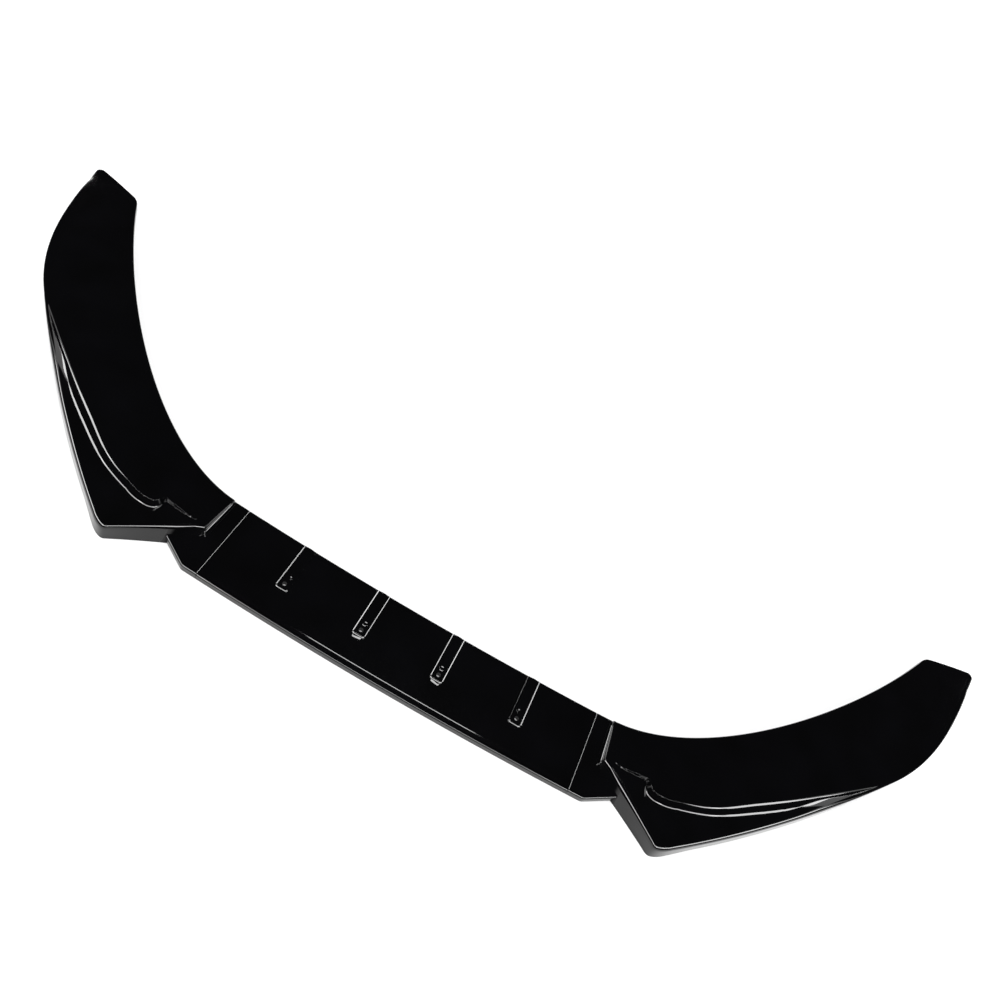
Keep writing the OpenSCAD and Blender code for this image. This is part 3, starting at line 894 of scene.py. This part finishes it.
def blade_ribs(z, skin, end):
    """Ribs of the blade's underside, and a boss round each screw hole."""
    rib_foot, rib_half, boss_wall, boss_depth, boss_sunk = 3.0, 1, 3.5, 4, 2.8
    r = z.pad_hole / 2
    for hx, hy in pad_holes(z):
        skin.add_tube(hx, hy, r, r + boss_wall, z.floor - boss_depth, z.floor + boss_sunk, 1)
    for k in (-2, -1, 0, 1, 2):
        x = k * z.pad_pitch
        y0 = float(front_y(z, x))
        ends = (y0 + z.skin - 1, y0 + z.depth - z.skin + 1)
        skin.add_block((x - rib_half, ends[0], rib_foot), (x + rib_half, ends[1], z.floor + 1), 1)
    y = float(front_y(z, 0)) + 0.4 * z.depth
    skin.add_block((-end + 1, y, rib_foot), (end - 1, y + 2 * rib_half, z.floor + 1), 1)


def joining_tabs(z, skin):
    """A tab at each end of the blade, with a counterbored hole for each joint screw."""
    head_r, shank_r, head_top, tab_top = 4.2, 2.2, 2.2, 4.0
    x0, x1 = z.seam_x - 14, z.step_x - 2
    y0 = float(front_y(z, z.seam_x)) + z.skin + 6
    y1 = y0 + z.depth - 2 * z.skin - 12
    for side in (-1, 1):
        outline = [(side * x, y) for x, y in ((x0, y0), (x1, y0), (x1, y1), (x0, y1))]
        spots = [(side * x, y) for x, y in joint_places(z)]
        skin.add_plate(outline, [(x, y, head_r) for x, y in spots], 0.0, head_top, 1)
        skin.add_plate(outline, [(x, y, shank_r) for x, y in spots], head_top, tab_top, 1)


# Finishes


def new_material(name):
    """The empty tree of a new material, with the object's own coordinates."""
    material = bpy.data.materials.new(name)
    material.use_nodes = True
    material.node_tree.nodes.clear()
    return material.node_tree, node(material.node_tree, "ShaderNodeTexCoord").outputs["Object"]


def noise(tree, coords, size, detail, distortion=0.0):
    """Soft noise whose features are some millimetres across."""
    inputs = {"Vector": coords, "Scale": 1 / (size * MM), "Detail": detail, "Distortion": distortion}
    return node(tree, "ShaderNodeTexNoise", inputs=inputs).outputs["Fac"]


def remap(tree, value, span, to_span, way="LINEAR"):
    """A value taken from one range to another."""
    names = ("From Min", "From Max", "To Min", "To Max")
    inputs = {"Value": value, **dict(zip(names, (*span, *to_span)))}
    return node(tree, "ShaderNodeMapRange", {"interpolation_type": way}, inputs).outputs["Result"]


def blend(tree, factor, a, b):
    """A mix of two hex colours."""
    inputs = {"Factor": factor, "A": linear_colour(a), "B": linear_colour(b)}
    return node(tree, "ShaderNodeMix", {"data_type": "RGBA"}, inputs).outputs["Result"]


def bump(tree, height, strength, depth, under=None):
    """A bump some millimetres deep, on top of another where one is given."""
    inputs = {"Height": height, "Strength": strength, "Distance": depth * MM}
    if under:
        inputs["Normal"] = under
    return node(tree, "ShaderNodeBump", inputs=inputs).outputs["Normal"]


def surface_of(tree, tone, rough, **others):
    """The shader that ends a material's tree."""
    inputs = {"Base Color": tone, "Roughness": rough, **others}
    shader = node(tree, "ShaderNodeBsdfPrincipled", inputs=inputs)
    node(tree, "ShaderNodeOutputMaterial", inputs={"Surface": shader.outputs["BSDF"]})


def black_gloss(finish):
    """Injection-moulded ABS from a polished tool: near black, mirror gloss, with faint flow and polish."""
    tree, coords = new_material("polished moulded black ABS")
    # Long soft waves about 60 mm apart, as moulded panels have
    waves = noise(tree, coords, 62.5, 1.0)
    # Fine orange peel, drawn at about 2.5 mm so that it shows
    peel = noise(tree, coords, 2.5, 2.0)
    # Wipe marks in the gloss, some 7 mm long
    wipe = noise(tree, coords, 7.143, 4.0)
    rough = remap(tree, wipe, (0.3, 0.75), [finish.gloss * share for share in GLOSS_SPREAD])
    relief = bump(tree, peel, 0.012, 0.4, bump(tree, waves, 0.02, 2.0))
    tone = blend(tree, waves, finish.black_abs, finish.black_wave)
    surface_of(tree, tone, rough, Normal=relief, IOR=ABS_IOR)


def black_grained(finish):
    """The hidden face of the same moulding: spark-eroded tool grain, so it is satin and slightly greyer."""
    tree, coords = new_material("grained moulded black ABS")
    # Tool grain is about 0.1 mm; drawn near 1 mm so that it shows
    grain = noise(tree, coords, 1.111, 3.0)
    # Flow marks from the gates, some 40 mm long
    flow = noise(tree, coords, 41.67, 2.0, 1.5)
    rough = remap(tree, flow, (0.3, 0.7), (0.42, 0.55))
    relief = bump(tree, grain, 0.25, 0.3)
    tone = blend(tree, flow, finish.grained_abs, finish.grained_flow)
    surface_of(tree, tone, rough, Normal=relief, IOR=ABS_IOR)


def zinc_steel(finish):
    """Zinc-plated steel: grey metal, faintly yellow in patches, softly brushed by the plating drum."""
    tree, coords = new_material("zinc plated steel")
    # Plating patches of a few millimetres
    patch = noise(tree, coords, 2.857, 2.0)
    rough = remap(tree, patch, (0.3, 0.7), (0.28, 0.4))
    surface_of(tree, blend(tree, patch, finish.zinc, finish.zinc_warm), rough, Metallic=1.0)


def finishes(scene):
    """The polished, the grained and the plated finish, made once."""
    if "polished moulded black ABS" not in bpy.data.materials:
        for make in (black_gloss, black_grained, zinc_steel):
            make(scene.lip_finish)
    names = ("polished moulded black ABS", "grained moulded black ABS", "zinc plated steel")
    return [bpy.data.materials[n] for n in names]


# Operators


class LIP_OT_centre_blade(bpy.types.Operator):
    """Build the centre blade with its screw pads"""

    bl_idname = "lip.centre_blade"
    bl_label = "Centre blade"

    def execute(self, context):
        z = read_sizes(context.scene)
        gloss, grained, _ = finishes(context.scene)
        skin = Skin()
        centre_blade(z, skin)
        made = skin.build("centre_blade_moulding", [gloss, grained], -z.overall_depth / 2)
        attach(made, "root")
        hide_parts("centre_blade")
        return {"FINISHED"}


class LIP_OT_side_pieces(bpy.types.Operator):
    """Build the two side pieces with their winglets"""

    bl_idname = "lip.side_pieces"
    bl_label = "Side pieces"

    def execute(self, context):
        z = read_sizes(context.scene)
        gloss, grained, _ = finishes(context.scene)
        screw_r, boss_r, boss_foot = 1.8, 4.55, 4.0
        for name, cad, mirrored in (
            ("right_side_moulding", "right_wing", False),
            ("left_side_moulding", "left_wing", True),
        ):
            skin = Skin()
            arm = [s for s in side_shell(z, skin) if s[2] >= 1]
            lap(z, skin)
            for share in RIB_SHARES:
                section_rib(z, skin, arm[int(share * (len(arm) - 1))])
            for x, y in joint_places(z):
                skin.add_tube(x, y, screw_r, boss_r, boss_foot, z.floor + 1.0, 1)
            made = skin.build(name, [gloss, grained], -z.overall_depth / 2, mirrored)
            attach(made, "root")
            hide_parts(cad)
        return {"FINISHED"}


class LIP_OT_joint_screws(bpy.types.Operator):
    """Give the joint screws their zinc plate"""

    bl_idname = "lip.joint_screws"
    bl_label = "Joint screws"

    def execute(self, context):
        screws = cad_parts["joint_screws"]
        screws.data.materials.clear()
        screws.data.materials.append(finishes(context.scene)[2])
        return {"FINISHED"}


class LIP_OT_studio(bpy.types.Operator):
    """Set up the floor, the world, the lamps and the camera"""

    bl_idname = "lip.studio"
    bl_label = "Studio"

    def execute(self, context):
        scene, studio = context.scene, context.scene.lip_studio
        self.floor(studio)
        self.world(scene, studio)
        self.lamps()
        self.camera(scene, studio)
        scene.view_settings.view_transform = "Standard"
        return {"FINISHED"}

    def floor(self, studio):
        half = studio.floor_size / 2
        mesh = bpy.data.meshes.new("floor")
        corners = [(-half, -half, 0), (half, -half, 0), (half, half, 0), (-half, half, 0)]
        mesh.from_pydata(corners, [], [(0, 1, 2, 3)])
        made = bpy.data.objects.new("floor", mesh)
        made.location.z = -FLOOR_DROP
        bpy.context.scene.collection.objects.link(made)
        mesh.materials.append(self.paper(studio))

    def paper(self, studio):
        """Matt white paper. The camera and mirror-like faces see its white glow, which ambient occlusion
        darkens close to the lip and under the blade as painted contact shade; its shading and shadow from
        the lamps stay.
        """
        material = bpy.data.materials.new("matt white paper sweep")
        material.use_nodes = True
        tree = material.node_tree
        tree.nodes.clear()

        def work(operation, a, b):
            return node(tree, "ShaderNodeMath", {"operation": operation}, {0: a, 1: b}).outputs[0]

        matt = node(tree, "ShaderNodeBsdfDiffuse", inputs={"Color": linear_colour(studio.floor_colour)})
        rays = node(tree, "ShaderNodeLightPath").outputs
        seen = work("MAXIMUM", rays["Is Camera Ray"], rays["Is Glossy Ray"])
        seen = work("MAXIMUM", seen, rays["Is Transmission Ray"])
        # Painted contact shade: ambient occlusion darkens the floor's white glow near the lip and under the
        # blade
        close = node(tree, "ShaderNodeAmbientOcclusion", {"samples": 8}, {"Distance": studio.painted_contact_shade})
        level = work("MULTIPLY", work("MULTIPLY", close.outputs["AO"], studio.floor_white), seen)
        white = linear_colour(studio.white)
        glow = node(tree, "ShaderNodeEmission", inputs={"Color": white, "Strength": level})
        both = node(tree, "ShaderNodeAddShader", inputs={0: matt.outputs[0], 1: glow.outputs[0]})
        node(tree, "ShaderNodeOutputMaterial", inputs={"Surface": both.outputs[0]})
        return material

    def world(self, scene, studio):
        """A pale strip at the horizon under a dim studio room."""
        world = bpy.data.worlds.new("studio")
        world.use_nodes = True
        tree = world.node_tree
        tree.nodes.clear()
        coords = node(tree, "ShaderNodeTexCoord")
        parts = node(tree, "ShaderNodeSeparateXYZ", inputs={"Vector": coords.outputs["Generated"]})
        strip = remap(tree, parts.outputs["Z"], HORIZON, (1.0, 0.0), "SMOOTHSTEP")
        tone = blend(tree, strip, studio.room, studio.white)
        back = node(tree, "ShaderNodeBackground", inputs={"Color": tone, "Strength": 1.0})
        node(tree, "ShaderNodeOutputWorld", inputs={"Surface": back.outputs[0]})
        scene.world = world

    def lamps(self):
        """Far soft boxes, those at the sides in mirrored pairs."""
        for lamp in MIDDLE_LAMPS:
            self.lamp(*lamp)
        for name, turn, *others in SIDE_LAMPS:
            self.lamp("left_" + name, -turn, *others)
            self.lamp("right_" + name, turn, *others)

    def lamp(self, name, turn, rise, half, level):
        far, a, e = LAMP_DISTANCE, math.radians(turn), math.radians(rise)
        size = [2 * far * math.tan(math.radians(h)) for h in half]
        lamp = bpy.data.lights.new(name, "AREA")
        lamp.shape, lamp.size, lamp.size_y = "RECTANGLE", size[0], size[1]
        lamp.energy = level * math.pi * size[0] * size[1]
        made = bpy.data.objects.new(name, lamp)
        made.location = Vector((math.sin(a) * math.cos(e), math.cos(a) * math.cos(e), math.sin(e))) * far
        made.rotation_euler = (-made.location).to_track_quat("-Z", "Y").to_euler()
        bpy.context.scene.collection.objects.link(made)

    def camera(self, scene, studio):
        pitch, yaw, roll = studio.pitch, studio.yaw, studio.roll
        ahead = Vector((math.sin(yaw) * math.cos(pitch), math.cos(yaw) * math.cos(pitch), -math.sin(pitch)))
        level = Vector((math.cos(yaw), -math.sin(yaw), 0))
        down = ahead.cross(level)
        right = math.cos(roll) * level - math.sin(roll) * down
        below = math.sin(roll) * level + math.cos(roll) * down
        lens = bpy.data.cameras.new("camera")
        lens.lens, lens.sensor_width, lens.clip_end = studio.lens, 36.0, 100.0
        made = bpy.data.objects.new("camera", lens)
        turn = Matrix((right, -below, -ahead)).transposed().to_4x4()
        made.matrix_world = Matrix.Translation(studio.camera) @ turn
        scene.collection.objects.link(made)
        scene.camera = made


class LIP_PT_panel(bpy.types.Panel):
    """Lists the sizes and the steps."""

    bl_idname = "LIP_PT_panel"
    bl_label = "Front splitter lip"
    bl_space_type = "VIEW_3D"
    bl_region_type = "UI"
    bl_category = "Lip"

    def draw(self, context):
        for name in GROUPS:
            group = getattr(context.scene, name)
            box = self.layout.box()
            for key in group.__annotations__:
                box.prop(group, key)
        for step in STEPS:
            self.layout.operator(step.bl_idname)


STEPS = (LIP_OT_studio, LIP_OT_centre_blade, LIP_OT_side_pieces, LIP_OT_joint_screws)
GROUPS = {
    "lip_blade": LIP_PG_blade,
    "lip_pads": LIP_PG_pads,
    "lip_side": LIP_PG_side,
    "lip_finish": LIP_PG_finish,
    "lip_studio": LIP_PG_studio,
}


def register():
    for kind in (*GROUPS.values(), *STEPS, LIP_PT_panel):
        bpy.utils.register_class(kind)
    for name, kind in GROUPS.items():
        setattr(bpy.types.Scene, name, PointerProperty(type=kind))


def unregister():
    for name in GROUPS:
        delattr(bpy.types.Scene, name)
    for kind in reversed((*GROUPS.values(), *STEPS, LIP_PT_panel)):
        bpy.utils.unregister_class(kind)


def main():
    register()
    bpy.ops.lip.studio()
    bpy.ops.lip.centre_blade()
    bpy.ops.lip.side_pieces()
    bpy.ops.lip.joint_screws()


if __name__ == "__main__":
    main()
